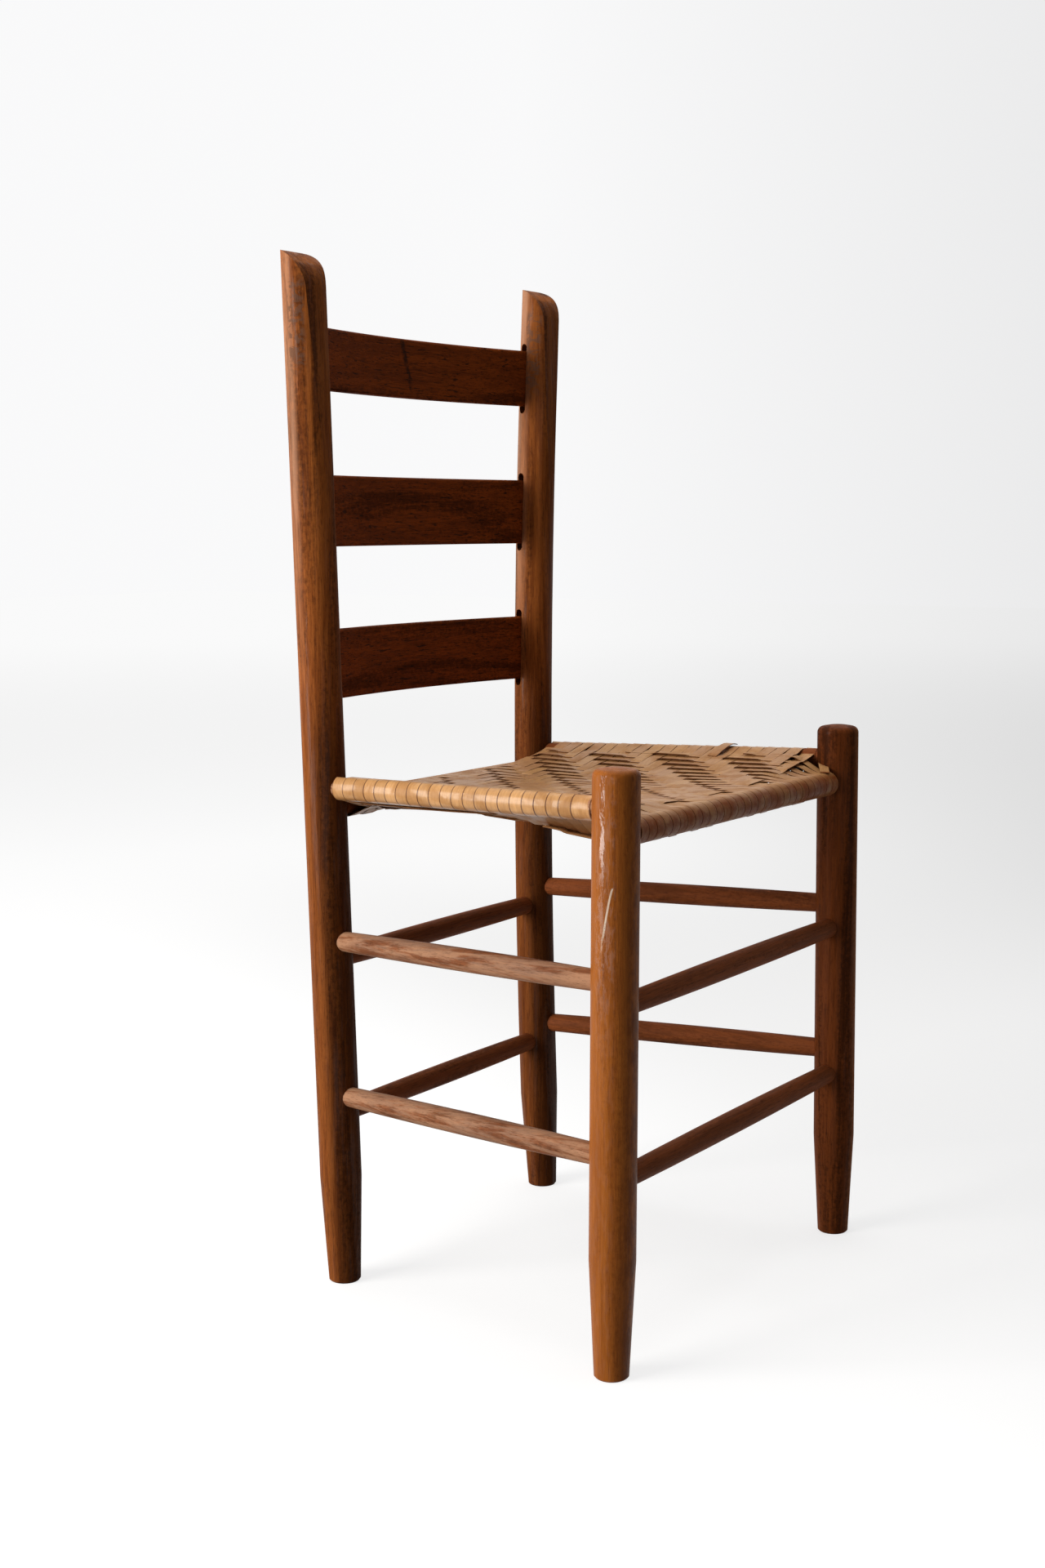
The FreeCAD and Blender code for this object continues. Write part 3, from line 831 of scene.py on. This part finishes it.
def corner_path(column):
    """Only round the front rail: both ends are tucked in beside the side rail."""
    x = column * warp_pitch
    reach = abs(x) + warp_pitch / 2 + wrap_side + 0.001
    slope = (side_rail_far.x - side_rail_near.x) / (side_rail_far.y - side_rail_near.y)
    end_y = side_rail_near.y + (reach - side_rail_near.x) / slope
    end_y = min(max(end_y, first_weft_y), last_weft_y - warp_pitch)
    return (warp_run(column, end_y, front_y, seat_top, splint_rise)
            + end_wrap(x, front_y, front_z, 90, 270)
            + warp_run(column, front_y, end_y, seat_bottom, -splint_rise))


def arched(start, end, arch, steps):
    """A straight path that rises, or sags, in its middle."""
    return [start.lerp(end, i / steps) + Vector((0, 0, arch * math.sin(math.pi * i / steps)))
            for i in range(steps + 1)]


def splice_path():
    """The end of a weft that was joined on: it comes up beside the left rail and lies over its wrap."""
    x, y = splice_spot
    steps = 8
    out, rail_z = side_rail_at(y)
    path = []
    for i in range(steps + 1):
        across = out - splice_inset + splice_length * i / steps
        lift = splice_arch * math.sin(math.pi * i / steps)
        on_weave = seat_top(min(across, out), y) + splint_rise + 1.1 * splint_thickness
        on_wrap = rail_z + wrap_side + 1.6 * splint_thickness
        path.append(Vector((across, y - splice_slant * (across - x), min(on_weave, on_wrap) + lift)))
    return path


def filler_path():
    """A splint folded across the corner between the left rail and the front rail."""
    start_lift, end_lift = filler_lift
    start = Vector((*filler_start, seat_top(*filler_start) + start_lift))
    end = Vector((*filler_end, front_z + wrap_end + end_lift))
    return arched(start, end, filler_arch, 10)


def tucked_path(*ends):
    """A loose end on the underside, tucked in beside the right rail."""
    spots = []
    for inward, y, drop in ends:
        out, rail_z = side_rail_at(y)
        spots.append(Vector((inward - out, y, rail_z - wrap_side - drop)))
    return arched(*spots, -tucked_sag, 12)


# Pieces of the seat


def woven_wefts():
    strips = StripMesh()
    for row in range(weft_count):
        path = weft_path(row)
        strips.add(path, Vector((0, 1, 0)), weft_widths(row, path), True)
    splice = splice_path()
    strips.add(splice, Vector((0, 1, 0)), [splice_width] * len(splice), False)
    return strips


def woven_warps():
    strips = StripMesh()
    for column in range(-warp_half_count, warp_half_count + 1):
        path = warp_path(column)
        width = warp_pitch - random.uniform(0, splint_gap)
        strips.add(path, Vector((-1, 0, 0)), [width] * len(path), True)
    return strips


def woven_corner(sign):
    """The short warps of a front corner, and the loose ends beside them."""
    strips = StripMesh()
    for i in range(corner_warps):
        path = corner_path(sign * (warp_half_count + 1 + i))
        strips.add(path, Vector((1, 0, 0)), [warp_pitch - splint_gap / 2] * len(path), False)
    if sign > 0:
        loose = [(filler_path(), Vector((1, -1, 0)))]
    else:
        loose = [(tucked_path(*ends), Vector((1, 0, 0))) for ends in tucked_ends]
    for path, sideways in loose:
        strips.add(path, sideways, [filler_width] * len(path), False)
    return strips


def weave_seat(material):
    made = (
        ("woven_wefts", woven_wefts(), "seat_wefts"),
        ("woven_warps", woven_warps(), "seat_warps"),
        ("woven_corner_left", woven_corner(1), "corner_splints_left"),
        ("woven_corner_right", woven_corner(-1), "corner_splints_right"),
    )
    for name, strips, node in made:
        piece = strips.build(name, material)
        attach(piece, "root")
        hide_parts(node)


# Wooden pieces


def dress(names, material):
    for name in names:
        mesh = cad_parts[name].data
        mesh.materials.clear()
        mesh.materials.append(material)


def dress_posts():
    far_tones = [[far_post_share * part for part in tone] for tone in worn_tones]
    dress(["front_post_right"], polished_post_finish("varnish_front_post_right", (0.0, 0.0, 0.0)))
    dress(["front_post_left"], plain_post_finish("varnish_front_post_left", (0.31, 0.17, 0.4)))
    dress(["back_post_right"], back_post_finish("varnish_back_post_right", worn_tones, (0.62, 0.34, 0.8)))
    dress(["back_post_left"], back_post_finish("varnish_back_post_left", far_tones, (0.93, 0.51, 0.2)))


def dress_slats():
    for index, node in enumerate(("slat_bottom", "slat_middle", "slat_top")):
        dress([node], slat_finish("varnish_" + node, (0.5 * index, 0.2, 0.3 * index)))


def dress_rungs():
    """Each side's rungs and seat rail; those on the right are the rubbed ones."""
    for side, along in (("front", "x"), ("back", "x"), ("left", "y"), ("right", "y")):
        names = [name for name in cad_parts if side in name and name.startswith(("rung", "seat_rail"))]
        dress(names, rung_finish("rungs_" + side, along, (0.3, 0.6, 0.1), side == "right"))


# Studio


def seen_rays(n):
    """1 for the rays that show the background: straight, mirrored or through glass."""
    rays = n.add("LightPath").outputs
    seen = n.calc("MAXIMUM", rays["Is Camera Ray"], rays["Is Glossy Ray"])
    return n.calc("MAXIMUM", seen, rays["Is Transmission Ray"])


def wall_shade(n, direction):
    """Brightness of the background: even on the left and falling off to the right."""
    across = n.calc("MAXIMUM", n.dot(direction, across_view), 0.0)
    return n.minus(wall_bright, n.times(across, wall_fall))


def make_floor():
    """A wide pale floor whose glow is painted light: brighter where the window's light falls, dimmer in the
    chair's shadow beside it, going over into the background.
    """
    r = floor_reach
    mesh = bpy.data.meshes.new("floor")
    mesh.from_pydata([(-r, -r, 0), (r, -r, 0), (r, r, 0), (-r, r, 0)], [], [(0, 1, 2, 3)])
    floor = bpy.data.objects.new("floor", mesh)
    bpy.context.scene.collection.objects.link(floor)
    material, n, sockets = new_material("pale_floor")
    mesh.materials.append(material)
    n.put(floor_color, sockets["Base Color"])
    sockets["Roughness"].default_value = 0.7
    sockets["Specular IOR Level"].default_value = 0.0
    place = n.place()
    away = n.vector_math("LENGTH", "Value", place)
    outward = n.vector_math("NORMALIZE", "Vector", place)
    # painted light and shadow: brighter towards the window, dimmer where the chair's shadow falls
    near = n.span(n.dot(place, shaded_side), *floor_shade_reach, floor_glow, floor_shade)
    far = n.minus(wall_shade(n, outward), n.span(away, *floor_far, *lamplight))
    glow = n.blend(n.span(away, *floor_blend), near, far)
    n.put((1.0, 1.0, 1.0), sockets["Emission Color"])
    n.put(n.times(seen_rays(n), glow), sockets["Emission Strength"])


def make_world():
    """Dim all round light, and a pale background that is brighter on one side."""
    world = bpy.data.worlds.new("studio")
    bpy.context.scene.world = world
    world.use_nodes = True
    n = Nodes(world.node_tree)
    background = world.node_tree.nodes["Background"].inputs
    shown = wall_shade(n, n.add("TexCoord").outputs["Generated"])
    n.put(wall_color, background["Color"])
    n.put(n.blend(seen_rays(n), world_light, shown), background["Strength"])


def area_light(name, place, size, power, color):
    """A rectangular lamp aimed at the seat."""
    data = bpy.data.lights.new(name, "AREA")
    data.shape = "RECTANGLE"
    data.size, data.size_y = size
    data.energy = power
    data.color = color
    lamp = bpy.data.objects.new(name, data)
    lamp.location = place
    lamp.rotation_mode = "QUATERNION"
    lamp.rotation_quaternion = (seat_middle - Vector(place)).to_track_quat("-Z", "Y")
    bpy.context.scene.collection.objects.link(lamp)


def make_camera():
    data = bpy.data.cameras.new("camera")
    data.sensor_width = camera_sensor
    data.lens = camera_lens
    camera = bpy.data.objects.new("camera", data)
    bpy.context.scene.collection.objects.link(camera)
    bpy.context.scene.camera = camera
    turn, tilt, roll = (math.radians(angle) for angle in (camera_turn, camera_tilt, camera_roll))
    forward = Vector((-math.sin(turn) * math.cos(tilt), math.cos(turn) * math.cos(tilt), math.sin(tilt)))
    right = Vector((math.cos(turn), math.sin(turn), 0.0))
    up = right.cross(forward)
    rolled_right = right * math.cos(roll) + up * math.sin(roll)
    rolled_up = up * math.cos(roll) - right * math.sin(roll)
    rotation = Matrix((rolled_right, rolled_up, -forward)).transposed().to_4x4()
    camera.matrix_world = Matrix.Translation(camera_place) @ rotation


figure_group = wood_figure_group()
fibres_group = splint_fibres_group()
dress_posts()
dress_slats()
dress_rungs()
weave_seat(splint_finish("splint"))

make_floor()
make_world()
area_light("window", window_place, window_size, window_power, window_color)
area_light("ceiling", ceiling_place, ceiling_size, ceiling_power, ceiling_color)
make_camera()
bpy.context.scene.view_settings.view_transform = "Standard"
